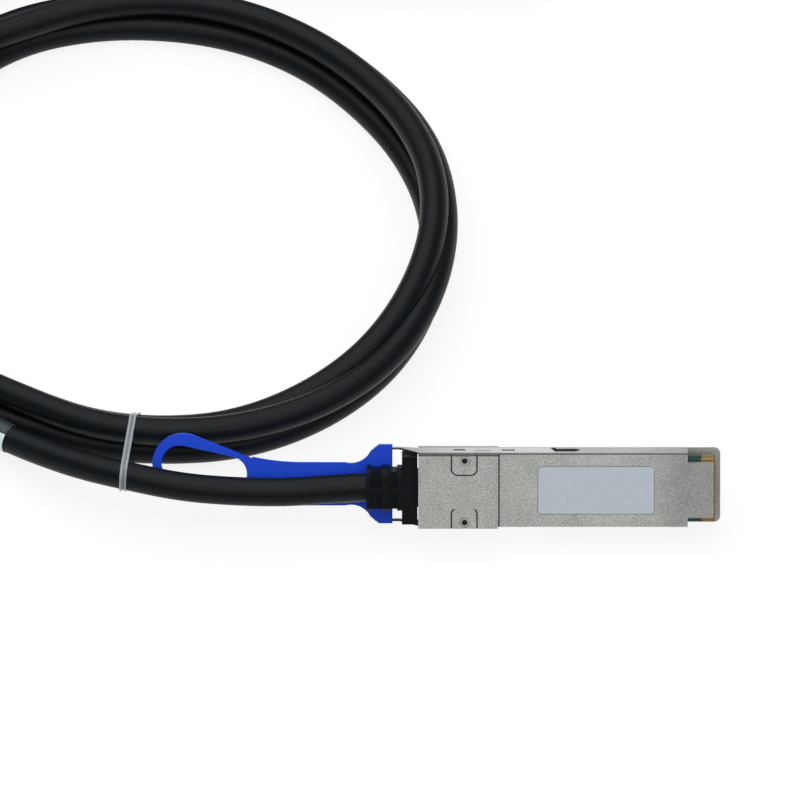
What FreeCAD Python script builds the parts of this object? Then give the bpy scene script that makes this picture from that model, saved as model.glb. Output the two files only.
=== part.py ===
"""Direct attach copper cable: two pluggable ends on a coiled and tied twinax cable.

Millimetres, +Z up. The origin lies on plug A's axis at its stop face, where the rear block meets the slim
body, and +X runs to its nose. Plug A rests on its long lower edge, rolled about X; plug B lies flat.
Each plug is modelled in its own frame, with x from the stop face, y across and z towards the label.
"""
import FreeCAD, Part
import math
import os
import re
from FreeCAD import Placement, Rotation, Vector
from Sketcher import Constraint

doc = FreeCAD.newDocument("direct_attach_cable")

# ---------------------------------------------------------------- driving dimensions
SIZES = [
    ("floor_z", -11.0, "surface that the cable lies on"),
    ("roll_a", 50.8, "roll of plug A about its axis, degrees"),
    ("plug_b_x", -40.7, "plug B, from plug A"),
    ("plug_b_y", 178.0, "plug B, from plug A"),
    # housing
    ("shell_width", 18.35, "width of both shells"),
    ("block_length", 19.5, "rear block, outside the cage"),
    ("block_low", 5.85, "rear block, from the axis to its heat-sink side"),
    ("block_high", 5.85, "rear block, from the axis to its label side"),
    ("body_length", 46.3, "slim body, stop face to the end of its side walls"),
    ("body_low", 4.65, "slim body, from the axis to its heat-sink side"),
    ("body_high", 3.85, "slim body, from the axis to its label side"),
    ("split", 0.25, "joint between the shells, above the axis"),
    ("skin", 1.2, "floor and roof of the shells"),
    ("lip_reach", 8.0, "heat-sink side lip past the side walls"),
    ("lip_thickness", 1.55, "thickness of that lip"),
    ("lip_round", 1.5, "corner radius of that lip"),
    ("tongue_reach", 6.3, "label side tongue past the side walls"),
    ("tongue_width", 13.8, "width of that tongue"),
    ("tongue_thickness", 1.55, "thickness of that tongue"),
    ("block_bore", 12.0, "width of the room in the rear block"),
    ("body_bore", 14.6, "width of the room in the slim body"),
    ("rear_wall", 2.2, "rear wall of the block"),
    ("edge_round", 0.35, "rounding of the outer long edges"),
    ("fit_gap", 0.1, "clearance round what is fitted in"),
    # lands and screws
    ("land_rear", 11.2, "rear edge of a screw land, behind the stop face"),
    ("land_length", 5.8, "screw land, along the plug"),
    ("land_inner", 4.3, "inner edge of a land, from the middle"),
    ("land_round", 1.3, "inner corner radius of a land"),
    ("land_groove", 0.45, "width of the groove round a land"),
    ("land_depth", 0.4, "depth of that groove"),
    ("screw_behind", 8.2, "screw centre, behind the stop face"),
    ("screw_out", 7.65, "screw centre, from the middle"),
    ("screw_head", 2.3, "screw head diameter"),
    ("screw_head_depth", 0.8, "screw head height"),
    ("screw_shank", 1.4, "screw shank diameter"),
    ("screw_length", 7.0, "screw under its head"),
    ("screw_recess", 1.4, "driver recess across its corners"),
    # latch slider
    ("sheet", 0.5, "slider sheet metal"),
    ("slide_gap", 0.05, "clearance between slider and channel"),
    ("arm_low", 3.55, "slider arm, below the axis"),
    ("arm_high", 2.55, "slider arm, above the axis"),
    ("arm_reach", 14.1, "slider arms past the stop face"),
    ("arm_slant", 1.4, "slant of the arm ends"),
    ("tail_length", 4.5, "taper behind the block"),
    ("tail_height", 1.2, "height at the end of the taper"),
    ("travel", 3.0, "slider travel"),
    ("slot_rear", 10.9, "rear end of the ear slot, behind the stop face"),
    ("slot_length", 2.9, "ear slot along the arm"),
    ("ear_reach", 1.75, "ear, inwards from the arm"),
    ("bulge_rear", 5.5, "rear end of the arm's bulge, behind the stop face"),
    ("bulge_length", 3.7, "bulge along the arm"),
    ("bulge_rise", 0.35, "bulge outwards"),
    ("bulge_height", 2.2, "bulge, across the arm"),
    ("window_start", 0.9, "arm window, from the stop face"),
    ("window_length", 3.2, "arm window along the arm"),
    ("window_height", 1.6, "arm window, across the arm"),
    ("pocket_length", 6.2, "latch pocket ahead of each arm, to its point"),
    ("pocket_point", 1.5, "length of that pocket's point"),
    ("pocket_height", 3.6, "height of that pocket"),
    ("pocket_depth", 1.5, "depth of that pocket"),
    # springs
    ("spring_length", 5.0, "return spring as fitted"),
    ("spring_diameter", 1.9, "return spring, outside"),
    ("spring_wire", 0.3, "return spring wire"),
    ("spring_turns", 5, "turns of the return spring"),
    # pull tab
    ("tab_low", 5.2, "strap underside, below the axis"),
    ("tab_thickness", 1.2, "strap thickness"),
    ("bar_extra", 0.2, "cross bar, thicker than the strap below"),
    ("bar_behind", 25.8, "front of the cross bar, behind the stop face"),
    ("bar_length", 5.4, "cross bar, along the plug"),
    ("bar_width", 19.5, "cross bar, across the plug"),
    ("bar_chamfer_x", 2.1, "rear corner chamfer of the bar, along the plug"),
    ("bar_chamfer_y", 1.7, "rear corner chamfer of the bar, across the plug"),
    ("flare_length", 6.1, "flare from the bar into the strap"),
    ("strap_width", 10.6, "strap width"),
    ("strap_straight", 16.6, "straight strap behind the bar"),
    ("strap_bend", 13.5, "bent stretch of the strap"),
    ("tilt_a", 12.7, "sideways set of plug A's loop, degrees"),
    ("loop_length", 23.7, "finger loop length"),
    ("loop_width", 15.0, "finger loop width"),
    ("loop_neck", 9.8, "finger loop width at the strap"),
    ("hole_start", 0.3, "finger hole, from the end of the strap"),
    ("hole_length", 21.2, "finger hole length"),
    ("hole_width", 8.8, "finger hole width"),
    # boot
    ("cable_diameter", 7.0, "cable jacket"),
    ("boot_rear", 32.1, "end of the boot, behind the stop face"),
    ("boot_width", 10.6, "strain relief width"),
    ("boot_low", 3.7, "strain relief, below the axis"),
    ("boot_high", 4.5, "strain relief, above the axis"),
    ("boot_round", 2.0, "strain relief edge radius"),
    ("groove_depth", 0.7, "depth of the flex grooves"),
    ("groove_bridge", 1.4, "bridge between the halves of a groove"),
    ("groove_one", 1.1, "rear groove, from the boot's end"),
    ("groove_one_width", 2.4, "rear groove width"),
    ("groove_two", 5.4, "front groove, from the boot's end"),
    ("groove_two_width", 2.0, "front groove width"),
    ("yoke_width", 16.8, "wide block between the slider tails"),
    ("yoke_length", 3.8, "wide block, along the plug"),
    ("yoke_gap", 0.2, "gap from the wide block to the shells"),
    ("neck_width", 8.4, "boot neck through the rear wall"),
    ("neck_height", 7.0, "boot neck height"),
    ("flange_width", 11.6, "boot flange inside the block"),
    ("flange_height", 8.8, "boot flange height"),
    ("flange_length", 1.6, "boot flange thickness"),
    # inside
    ("card_reach", 6.7, "paddle card past the side walls"),
    ("card_length", 35.0, "paddle card length"),
    ("card_width", 16.4, "paddle card width"),
    ("card_thickness", 1.0, "paddle card thickness"),
    ("card_bevel", 0.25, "bevel of the card's front edge"),
    ("contact_count", 19, "contact pads on each face"),
    ("contact_pitch", 0.8, "contact pad pitch"),
    ("contact_width", 0.54, "contact pad width"),
    ("contact_length", 3.0, "contact pad length"),
    ("contact_inset", 0.5, "contact pads, from the card's front edge"),
    ("contact_thickness", 0.05, "contact pad thickness"),
    ("chip_length", 3.0, "memory chip, along the card"),
    ("chip_width", 4.4, "memory chip, across the card"),
    ("chip_height", 0.9, "memory chip height"),
    ("chip_behind", 19.0, "memory chip, from the card's front edge"),
    ("ferrule_diameter", 6.4, "crimp ferrule, outside"),
    ("ferrule_bore", 5.7, "crimp ferrule, inside"),
    ("ferrule_length", 3.6, "crimp ferrule length"),
    ("pair_width", 2.0, "wire pair, across its two wires"),
    ("pair_height", 1.1, "wire pair thickness"),
    ("pair_pitch", 2.3, "distance between pairs"),
    ("pair_landing", 2.4, "pairs, over the card"),
    ("label_start", 9.8, "label, from the stop face"),
    ("label_length", 28.2, "label length"),
    ("label_width", 11.6, "label width"),
    ("label_thickness", 0.15, "label thickness"),
    ("label_round", 0.8, "label corner radius"),
    # coil and tie
    ("coil_x", -84.8, "centre of the coil's large arc"),
    ("coil_y", 87.1, "centre of the coil's large arc"),
    ("coil_radius", 68.5, "large arc, to the bundle's middle"),
    ("cap_distance", 70.0, "small arc's centre, from the large arc's"),
    ("cap_radius", 35.0, "small arc, to the bundle's middle"),
    ("bundle_width", 17.0, "bundle width"),
    ("bundle_height", 15.0, "bundle height"),
    ("bundle_round", 5.0, "bundle corner radius"),
    ("tie_x", -91.2, "tie, along the plug"),
    ("tie_width", 1.7, "tie ribbon width"),
    ("tie_thickness", 0.5, "tie ribbon thickness"),
]

sheet = doc.addObject("Spreadsheet::Sheet", "sizes")
for row, (alias, amount, note) in enumerate(SIZES, start=1):
    sheet.set(f"A{row}", note)
    sheet.set(f"B{row}", str(amount))
    sheet.setAlias(f"B{row}", alias)
doc.recompute()

ALIAS = re.compile(r"\b(" + "|".join(alias for alias, _, _ in SIZES) + r")\b")
DERIVED = {
    "half_width": "(shell_width/2)",
    "wall_end": "body_length",
    "nose_end": "(body_length+lip_reach)",
    "arm_face": "(shell_width/2-sheet)",
    "card_front": "(body_length+card_reach)",
    "card_rear": "(body_length+card_reach-card_length)",
    "card_top": "(split+card_thickness)",
    "spring_front": "(-slot_rear-sheet)",
    "spring_axis_z": "(split-fit_gap-spring_diameter/2)",
    "tab_top": "(tab_thickness-tab_low)",
    "bar_rear": "(-bar_behind-bar_length)",
    "bridge_low": "(tab_thickness/2-tab_low-sheet/2)",
    "flange_rear": "(rear_wall+fit_gap-block_length)",
    "yoke_front": "(-block_length-yoke_gap)",
    "over": "1.0",
}
WORD = re.compile(r"\b(" + "|".join(DERIVED) + r")\b")


def spelled(formula):
    """A formula with the derived names written out and every size taken from the sheet."""
    formula = WORD.sub(lambda found: DERIVED[found.group(1)], str(formula))
    return ALIAS.sub(r"sizes.\1", formula)


def amount(formula):
    """The number that a formula gives with the sheet as it is."""
    found = sheet.evalExpression(spelled(formula).replace("sizes.", ""))
    return float(getattr(found, "Value", found))


def bind(thing, prop, formula):
    thing.setExpression(prop, spelled(formula))


# ---------------------------------------------------------------- helpers for PartDesign bodies
def new_body(label):
    body = doc.addObject("PartDesign::Body", label)
    body.Label = label
    return body


def plane_of(body, role):
    return next(o for o in body.Origin.OriginFeatures if o.Role == role)


def outline(body, name, role, height, loops, circles=()):
    """A sketch of straight-sided loops and circles on an origin plane, at a height along its normal.

    Each corner is a pair of formulas and stays tied to the sheet. Circles are (x, y, diameter).
    """
    sketch = body.newObject("Sketcher::SketchObject", body.Label + "_" + name)
    sketch.AttachmentSupport = [(plane_of(body, role), "")]
    sketch.MapMode = "FlatFace"
    bind(sketch, "AttachmentOffset.Base.z", height)
    ties = []
    for corners in loops:
        places = [Vector(amount(u), amount(v), 0) for u, v in corners]
        first = sketch.GeometryCount
        for k, place in enumerate(places):
            sketch.addGeometry(Part.LineSegment(place, places[(k + 1) % len(places)]), False)
        for k in range(len(places)):
            after = (k + 1) % len(places)
            sketch.addConstraint(Constraint("Coincident", first + k, 2, first + after, 1))
            ties += [("DistanceX", first + k, corners[k][0]), ("DistanceY", first + k, corners[k][1])]
    for kind, edge, formula in ties:
        at = sketch.addConstraint(Constraint(kind, -1, 1, edge, 1, amount(formula)))
        sketch.setExpression(f"Constraints[{at}]", spelled(formula))
    for u, v, across in circles:
        centre = Vector(amount(u), amount(v), 0)
        edge = sketch.addGeometry(Part.Circle(centre, Vector(0, 0, 1), amount(across) / 2), False)
        for kind, formula in (("DistanceX", u), ("DistanceY", v)):
            at = sketch.addConstraint(Constraint(kind, -1, 1, edge, 3, amount(formula)))
            sketch.setExpression(f"Constraints[{at}]", spelled(formula))
        at = sketch.addConstraint(Constraint("Diameter", edge, amount(across)))
        sketch.setExpression(f"Constraints[{at}]", spelled(across))
    return sketch


def rectangle(x0, y0, x1, y1):
    return [(x0, y0), (x1, y0), (x1, y1), (x0, y1)]


def both_sides(x0, y0, x1, y1):
    """A rectangle on each side of the plug's middle."""
    return [rectangle(x0, y0, x1, y1), rectangle(x0, f"-({y1})", x1, f"-({y0})")]


def pad(body, name, sketch, length):
    feature = body.newObject("PartDesign::Pad", body.Label + "_" + name)
    feature.Profile = sketch
    bind(feature, "Length", length)
    return feature


def pocket(body, name, sketch, depth, upwards=False):
    feature = body.newObject("PartDesign::Pocket", body.Label + "_" + name)
    feature.Profile = sketch
    feature.Reversed = upwards
    bind(feature, "Length", depth)
    return feature


def round_edges(body, name, radius, chosen):
    """Rounds the edges that chosen(edge) picks on the body as it stands."""
    doc.recompute()
    names = [f"Edge{k}" for k, edge in enumerate(body.Shape.Edges, start=1) if chosen(edge)]
    feature = body.newObject("PartDesign::Fillet", body.Label + "_" + name)
    feature.Base = (feature.BaseFeature, names)
    bind(feature, "Radius", radius)
    return feature


def lies_along_x(edge, y, z, longer_than):
    """True for a straight edge parallel to X at that distance from the middle and that height."""
    low, high = edge.BoundBox.getPoint(0), edge.BoundBox
    return (
        high.XLength > longer_than
        and high.YLength < 1e-4
        and high.ZLength < 1e-4
        and abs(abs(low.y) - y) < 1e-3
        and abs(low.z - z) < 1e-3
    )


NODES = []


def keep(thing, tag=""):
    """Puts a finished sub-part in its plug's place and lists it."""
    if tag == "_a":
        thing.Placement = Placement(Vector(), Rotation(Vector(1, 0, 0), amount("roll_a")))
        bind(thing, "Placement.Rotation.Angle", "roll_a")
    if tag == "_b":
        bind(thing, "Placement.Base.x", "plug_b_x")
        bind(thing, "Placement.Base.y", "plug_b_y")
        bind(thing, "Placement.Base.z", "floor_z+block_low")
    NODES.append(thing)
    return thing


def shaped(label, shape, tag=""):
    """A sub-part whose shape comes from Part's own functions."""
    feature = doc.addObject("Part::Feature", label + tag)
    feature.Label = label + tag
    feature.Shape = shape
    return keep(feature, tag)


# ---------------------------------------------------------------- die-cast shells
def side_view(body, name, side, loops):
    """A sketch of side view loops just outside one side of the plug; side is 1 or -1."""
    return outline(body, name, "XZ_Plane", "-half_width-over" if side > 0 else "half_width+over", loops)


def latch_pockets(body, low, high):
    """The pointed pocket ahead of each slider arm, cut from both sides between two heights."""
    middle = "(arm_high-arm_low)/2"
    bottom, top = f"max({low};{middle}-pocket_height/2)", f"min({high};{middle}+pocket_height/2)"
    start, end = "arm_reach-over", "arm_reach+pocket_length"
    for side in (1, -1):
        name = "left" if side > 0 else "right"
        tip = f"max({bottom};min({top};{middle}))"
        shape = [(start, bottom), (end + "-pocket_point", bottom), (end, tip)]
        shape += [(end + "-pocket_point", top), (start, top)]
        sketch = side_view(body, "latch_" + name, side, [shape])
        pocket(body, "latch_pocket_" + name, sketch, "over+pocket_depth", side > 0)


def heat_shell(tag):
    """The deep shell: block floor, side walls, slider channels and the long lip under the contacts."""
    body = new_body("heat_shell" + tag)
    block = outline(body, "block_plan", "XY_Plane", "-block_low", [
        rectangle("-block_length", "-half_width", "0", "half_width"),
    ])
    pad(body, "block", block, "block_low+split")
    slim = outline(body, "body_plan", "XY_Plane", "-body_low", [
        rectangle("-over", "-half_width", "nose_end", "half_width"),
    ])
    pad(body, "slim", slim, "body_low+split")
    mouth = outline(body, "mouth_plan", "XY_Plane", "split", [
        rectangle("wall_end", "-half_width-over", "nose_end+over", "half_width+over"),
    ])
    pocket(body, "mouth", mouth, "split+body_low-lip_thickness")
    nose, width = amount("nose_end"), amount("half_width")

    def lip_corner(edge):
        box = edge.BoundBox
        upright = box.XLength < 1e-4 and box.YLength < 1e-4
        return upright and abs(box.XMin - nose) < 1e-3 and abs(abs(box.YMin) - width) < 1e-3

    round_edges(body, "lip_corners", "lip_round", lip_corner)
    rear = outline(body, "rear_room_plan", "XY_Plane", "split", [
        rectangle("rear_wall-block_length", "-block_bore/2", "-rear_wall", "block_bore/2"),
    ])
    pocket(body, "rear_room", rear, "split+block_low-skin")
    front = outline(body, "front_room_plan", "XY_Plane", "split", [
        rectangle("-rear_wall-over", "-body_bore/2", "wall_end", "body_bore/2"),
    ])
    pocket(body, "front_room", front, "split+body_low-skin")
    neck = outline(body, "neck_plan", "XY_Plane", "split", [
        rectangle(
            "-block_length-over", "-neck_width/2-fit_gap",
            "rear_wall-block_length+over", "neck_width/2+fit_gap",
        ),
    ])
    pocket(body, "neck_way", neck, "split+neck_height/2+fit_gap")
    channel = outline(body, "channel_plan", "XY_Plane", "split", both_sides(
        "-block_length-over", "arm_face-slide_gap", "arm_reach", "half_width+over",
    ))
    pocket(body, "channels", channel, "split+arm_low+slide_gap")
    springs = outline(body, "spring_plan", "XY_Plane", "split", both_sides(
        "spring_front-spring_length-slide_gap", "arm_face-ear_reach-2*fit_gap",
        "fit_gap-slot_rear", "arm_face",
    ))
    pocket(body, "spring_pockets", springs, "spring_diameter+2*fit_gap")
    shank = "screw_shank+2*fit_gap"
    holes = outline(body, "screw_plan", "XY_Plane", "split", [], [
        ("-screw_behind", "screw_out", shank), ("-screw_behind", "-screw_out", shank),
    ])
    pocket(body, "screw_holes", holes, "split+screw_length+screw_head_depth-block_high+3*fit_gap")
    latch_pockets(body, "-body_low-over", "split+over")
    low = -amount("body_low")
    round_edges(body, "long_edges", "edge_round", lambda e: lies_along_x(e, width, low, 20.0))
    return keep(body, tag)


def label_shell(tag):
    """The shallow shell: roof, grooved screw lands and the short tongue over the contacts."""
    body = new_body("label_shell" + tag)
    block = outline(body, "block_plan", "XY_Plane", "split", [
        rectangle("-block_length", "-half_width", "0", "half_width"),
    ])
    pad(body, "block", block, "block_high-split")
    plan = [
        ("-over", "-half_width"), ("wall_end", "-half_width"), ("wall_end", "-tongue_width/2"),
        ("wall_end+tongue_reach", "-tongue_width/2"), ("wall_end+tongue_reach", "tongue_width/2"),
        ("wall_end", "tongue_width/2"), ("wall_end", "half_width"), ("-over", "half_width"),
    ]
    pad(body, "slim", outline(body, "body_plan", "XY_Plane", "split", [plan]), "body_high-split")
    mouth = outline(body, "mouth_plan", "XY_Plane", "split", [
        rectangle("wall_end", "-half_width", "wall_end+tongue_reach+over", "half_width"),
    ])
    pocket(body, "mouth", mouth, "body_high-tongue_thickness-split", True)
    bed = outline(body, "bed_plan", "XY_Plane", "split", [
        rectangle("card_rear-fit_gap", "-card_width/2-fit_gap", "wall_end+over", "card_width/2+fit_gap"),
    ])
    pocket(body, "card_bed", bed, "card_thickness+slide_gap", True)
    front = outline(body, "front_room_plan", "XY_Plane", "split", [
        rectangle("-rear_wall-over", "-body_bore/2", "wall_end", "body_bore/2"),
    ])
    pocket(body, "front_room", front, "body_high-skin-split", True)
    rear = outline(body, "rear_room_plan", "XY_Plane", "split", [
        rectangle("rear_wall-block_length", "-block_bore/2", "-rear_wall", "block_bore/2"),
    ])
    pocket(body, "rear_room", rear, "block_high-skin-split", True)
    neck = outline(body, "neck_plan", "XY_Plane", "split", [
        rectangle(
            "-block_length-over", "-neck_width/2-fit_gap",
            "rear_wall-block_length+over", "neck_width/2+fit_gap",
        ),
    ])
    pocket(body, "neck_way", neck, "neck_height/2+fit_gap-split", True)
    channel = outline(body, "channel_plan", "XY_Plane", "split", both_sides(
        "-block_length-over", "arm_face-slide_gap", "arm_reach", "half_width+over",
    ))
    pocket(body, "channels", channel, "arm_high+slide_gap-split", True)
    # a land is a plateau with a groove on its three inner sides
    grooves = []
    for s in ("", "-"):
        grooves.append([
            ("-land_rear-land_groove", f"{s}(half_width+over)"),
            ("-land_rear-land_groove", f"{s}(land_inner-land_groove)"),
            ("land_length-land_rear+land_groove", f"{s}(land_inner-land_groove)"),
            ("land_length-land_rear+land_groove", f"{s}(half_width+over)"),
            ("land_length-land_rear", f"{s}(half_width+over)"), ("land_length-land_rear", f"{s}land_inner"),
            ("-land_rear", f"{s}land_inner"), ("-land_rear", f"{s}(half_width+over)"),
        ])
    pocket(body, "land_grooves", outline(body, "land_plan", "XY_Plane", "block_high", grooves), "land_depth")
    inner, deep = amount("land_inner"), amount("land_depth")

    def land_corner(edge):
        box = edge.BoundBox
        upright = box.XLength < 1e-4 and box.YLength < 1e-4 and abs(box.ZLength - deep) < 1e-3
        return upright and abs(abs(box.YMin) - inner) < 1e-3

    round_edges(body, "land_corners", "land_round", land_corner)
    for name, across, depth in (
        ("screw_holes", "screw_shank+2*fit_gap", "block_high-split+over"),
        ("screw_seats", "screw_head+2*fit_gap", "screw_head_depth"),
    ):
        circles = [("-screw_behind", "screw_out", across), ("-screw_behind", "-screw_out", across)]
        pocket(body, name, outline(body, name + "_plan", "XY_Plane", "block_high", [], circles), depth)
    latch_pockets(body, "split-over", "body_high+over")
    width, high = amount("half_width"), amount("body_high")
    round_edges(body, "long_edges", "edge_round", lambda e: lies_along_x(e, width, high, 20.0))
    return keep(body, tag)


# ---------------------------------------------------------------- latch slider, springs and screws
def latch_slider(tag):
    """One stamping: arms in the side channels, tapered tails, a bridge under the boot and two spring ears."""
    body = new_body("latch_slider" + tag)
    tail_x, tail_top = "-block_length-tail_length", "bridge_low+tail_height"
    arm = [
        ("bar_rear+over", "bridge_low"), (tail_x, "bridge_low"), ("-block_length", "-arm_low"),
        ("arm_reach-arm_slant", "-arm_low"), ("arm_reach", "arm_high"), ("-block_length", "arm_high"),
        (tail_x, tail_top), ("-bar_behind", tail_top), ("-bar_behind-0.4", "bridge_low+sheet"),
        ("bar_rear+over", "bridge_low+sheet"),
    ]
    middle = "(arm_high-arm_low)/2"
    window = rectangle(
        "window_start", middle + "-window_height/2",
        "window_start+window_length", middle + "+window_height/2",
    )
    ear_low, ear_high = "spring_axis_z-spring_diameter/2+fit_gap", "spring_axis_z+spring_diameter/2-fit_gap"
    slot = rectangle("-slot_rear", ear_low, "slot_length-slot_rear", ear_high)
    bulge = rectangle(
        "-bulge_rear", middle + "-bulge_height/2", "bulge_length-bulge_rear", middle + "+bulge_height/2",
    )
    # the sketch plane looks along -Y, so each pad grows towards -Y
    sides = [("left", "-half_width", "-half_width-bulge_rise"), ("right", "arm_face", "half_width")]
    for side, far, rise in sides:
        pad(body, side + "_arm", outline(body, side + "_side", "XZ_Plane", far, [arm, window, slot]), "sheet")
        pad(body, side + "_bulge", outline(body, side + "_raised", "XZ_Plane", rise, [bulge]), "bulge_rise")
    bridge = outline(body, "bridge_plan", "XY_Plane", "bridge_low", [
        rectangle("bar_rear+over", "-half_width", "-bar_behind-over", "half_width"),
    ])
    pad(body, "bridge", bridge, "sheet")
    ears = outline(body, "ear_plan", "XY_Plane", ear_low, both_sides(
        "spring_front", "arm_face-ear_reach", "-slot_rear", "half_width-sheet/2",
    ))
    pad(body, "ears", ears, "spring_diameter-2*fit_gap")
    return keep(body, tag)


def hexagon(across, at, normal_x):
    """Six corners and the first again, across corners, in the plane facing x or z."""
    turns = [math.radians(60 * k) for k in range(7)]
    if normal_x:
        return [at + Vector(0, math.cos(a), math.sin(a)) * across / 2 for a in turns]
    return [at + Vector(math.cos(a), math.sin(a), 0) * across / 2 for a in turns]


def return_springs(tag):
    """Two compression springs between the block's pockets and the slider's ears."""
    wire, length = amount("spring_wire"), amount("spring_length")
    radius = amount("(spring_diameter-spring_wire)/2")
    turns, steps = int(amount("spring_turns")), 10
    rise = length - 1.3 * wire
    spots = []
    for k in range(turns * steps + 1):
        a = math.radians(360 * k / steps)
        spots.append(Vector(radius * math.cos(a), radius * math.sin(a), rise * k / (turns * steps)))
    half = wire / 2 * math.sqrt(math.pi / 4) * 0.98
    square = ((-half, -half), (half, -half), (half, half), (-half, half))
    corners = [Vector(radius + u, 0, v) for u, v in square]
    coils = []
    for side in (1, -1):
        # square wire of the round one's section, bent in short straights
        section = Part.makePolygon([*corners, corners[0]])
        coil = Part.makePolygon(spots).makePipeShell([section], True, False, 1)
        axis_y = side * amount("arm_face-ear_reach/2-fit_gap")
        start = Vector(amount("spring_front-spring_length") + wire / 2, axis_y, amount("spring_axis_z"))
        coil.Placement = Placement(start, Rotation(Vector(0, 1, 0), 90))
        coils.append(coil)
    return shaped("return_springs", Part.makeCompound(coils), tag)


def shell_screws(tag):
    """Two socket head screws, flush in the lands."""
    screws = []
    depth = amount("screw_head_depth")
    for side in (1, -1):
        top = Vector(-amount("screw_behind"), side * amount("screw_out"), amount("block_high"))
        seat = top - Vector(0, 0, depth)
        head = Part.makeCylinder(amount("screw_head/2"), depth, top, Vector(0, 0, -1))
        shank = Part.makeCylinder(amount("screw_shank/2"), amount("screw_length"), seat, Vector(0, 0, -1))
        socket = Part.Face(Part.makePolygon(hexagon(amount("screw_recess"), top, False)))
        screws.append(head.fuse(shank).cut(socket.extrude(Vector(0, 0, -0.7 * depth))).removeSplitter())
    return shaped("shell_screws", Part.makeCompound(screws), tag)


# ---------------------------------------------------------------- pull tab
def flat(*pieces):
    return Part.Face(Part.Wire([getattr(piece, "toShape", lambda p=piece: p)() for piece in pieces]))


def tab_faces(tilt):
    """Plan of the strap: cross bar, flare and straight, bent stretch, loop and its hole."""
    rear, front = amount("bar_rear"), -amount("bar_behind")
    half, cut_x, cut_y = amount("bar_width/2"), amount("bar_chamfer_x"), amount("bar_chamfer_y")
    corners = [
        Vector(front, half, 0), Vector(rear + cut_x, half, 0), Vector(rear, half - cut_y, 0),
        Vector(rear, cut_y - half, 0), Vector(rear + cut_x, -half, 0), Vector(front, -half, 0),
    ]
    bar = Part.Face(Part.makePolygon([*corners, corners[0]]))
    strap, flare = amount("strap_width/2"), amount("flare_length")
    bend_x = rear - amount("strap_straight")
    bow_x, bow_y = rear - 0.3 * flare, strap + 0.25 * (half - cut_y - strap)
    upper = Part.Arc(Vector(rear, half - cut_y, 0), Vector(bow_x, bow_y, 0), Vector(rear - flare, strap, 0))
    lower = Part.Arc(Vector(rear - flare, -strap, 0), Vector(bow_x, -bow_y, 0), Vector(rear, cut_y - half, 0))
    straight = flat(
        upper, Part.makeLine(Vector(rear - flare, strap, 0), Vector(bend_x, strap, 0)),
        Part.makeLine(Vector(bend_x, strap, 0), Vector(bend_x, -strap, 0)),
        Part.makeLine(Vector(bend_x, -strap, 0), Vector(rear - flare, -strap, 0)), lower,
        Part.makeLine(Vector(rear, cut_y - half, 0), Vector(rear, half - cut_y, 0)),
    )
    # the bend turns the strap sideways by the tilt, and the loop goes on straight from its end
    length, turn = amount("strap_bend"), math.radians(tilt)
    if turn:
        radius = length / turn
        centre = Vector(bend_x, radius, 0)

        def on_bend(share, out):
            a = turn * share
            return centre + Vector(-math.sin(a), -math.cos(a), 0) * (radius - out)

        bend = flat(
            Part.Arc(on_bend(0, strap), on_bend(0.5, strap), on_bend(1, strap)),
            Part.makeLine(on_bend(1, strap), on_bend(1, -strap)),
            Part.Arc(on_bend(1, -strap), on_bend(0.5, -strap), on_bend(0, -strap)),
            Part.makeLine(on_bend(0, -strap), on_bend(0, strap)),
        )
        end = on_bend(1, 0)
    else:
        bend = Part.makePlane(length, 2 * strap, Vector(bend_x - length, -strap, 0))
        end = Vector(bend_x - length, 0, 0)
    wide, long, neck = amount("loop_width/2"), amount("loop_length"), amount("loop_neck/2")
    middle = Vector(wide - long, 0, 0)
    lean = math.asin((wide - neck) / (long - wide))
    touch = middle + Vector(math.sin(lean), math.cos(lean), 0) * wide
    below = Vector(touch.x, -touch.y, 0)
    loop = flat(
        Part.makeLine(Vector(0.3, neck, 0), touch), Part.Arc(touch, Vector(-long, 0, 0), below),
        Part.makeLine(below, Vector(0.3, -neck, 0)),
        Part.makeLine(Vector(0.3, -neck, 0), Vector(0.3, neck, 0)),
    )
    gap = amount("hole_width/2")
    first = Vector(-amount("hole_start") - gap, 0, 0)
    last = Vector(gap - amount("hole_start+hole_length"), 0, 0)
    up = Vector(0, gap, 0)
    hole = flat(
        Part.makeLine(first + up, last + up), Part.Arc(last + up, last - Vector(gap, 0, 0), last - up),
        Part.makeLine(last - up, first - up), Part.Arc(first - up, first + Vector(gap, 0, 0), first + up),
    )
    turned = Placement(end, Rotation(Vector(0, 0, 1), -tilt))
    loop.Placement = turned
    hole.Placement = turned
    return bar, [straight, bend, loop], hole


def pull_tab(tag):
    """Moulded tab: a cross bar over the slider's bridge, a strap under the cable and a finger loop."""
    bar, strap, hole = tab_faces(amount("tilt_a") if tag == "_a" else 0.0)
    thick, extra = amount("tab_thickness"), amount("bar_extra")
    low = -amount("tab_low")
    pieces = []
    for face in strap:
        face.translate(Vector(0, 0, low))
        pieces.append(face.extrude(Vector(0, 0, thick)))
    hole.translate(Vector(0, 0, low - 1))
    bar.translate(Vector(0, 0, low - extra))
    tab = bar.extrude(Vector(0, 0, thick + extra)).multiFuse(pieces)
    tab = tab.cut(hole.extrude(Vector(0, 0, thick + 2))).removeSplitter()
    slider = doc.getObject("latch_slider" + tag).Shape.copy()
    slider.Placement = Placement()
    return shaped("pull_tab", tab.cut(slider), tag)


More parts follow.
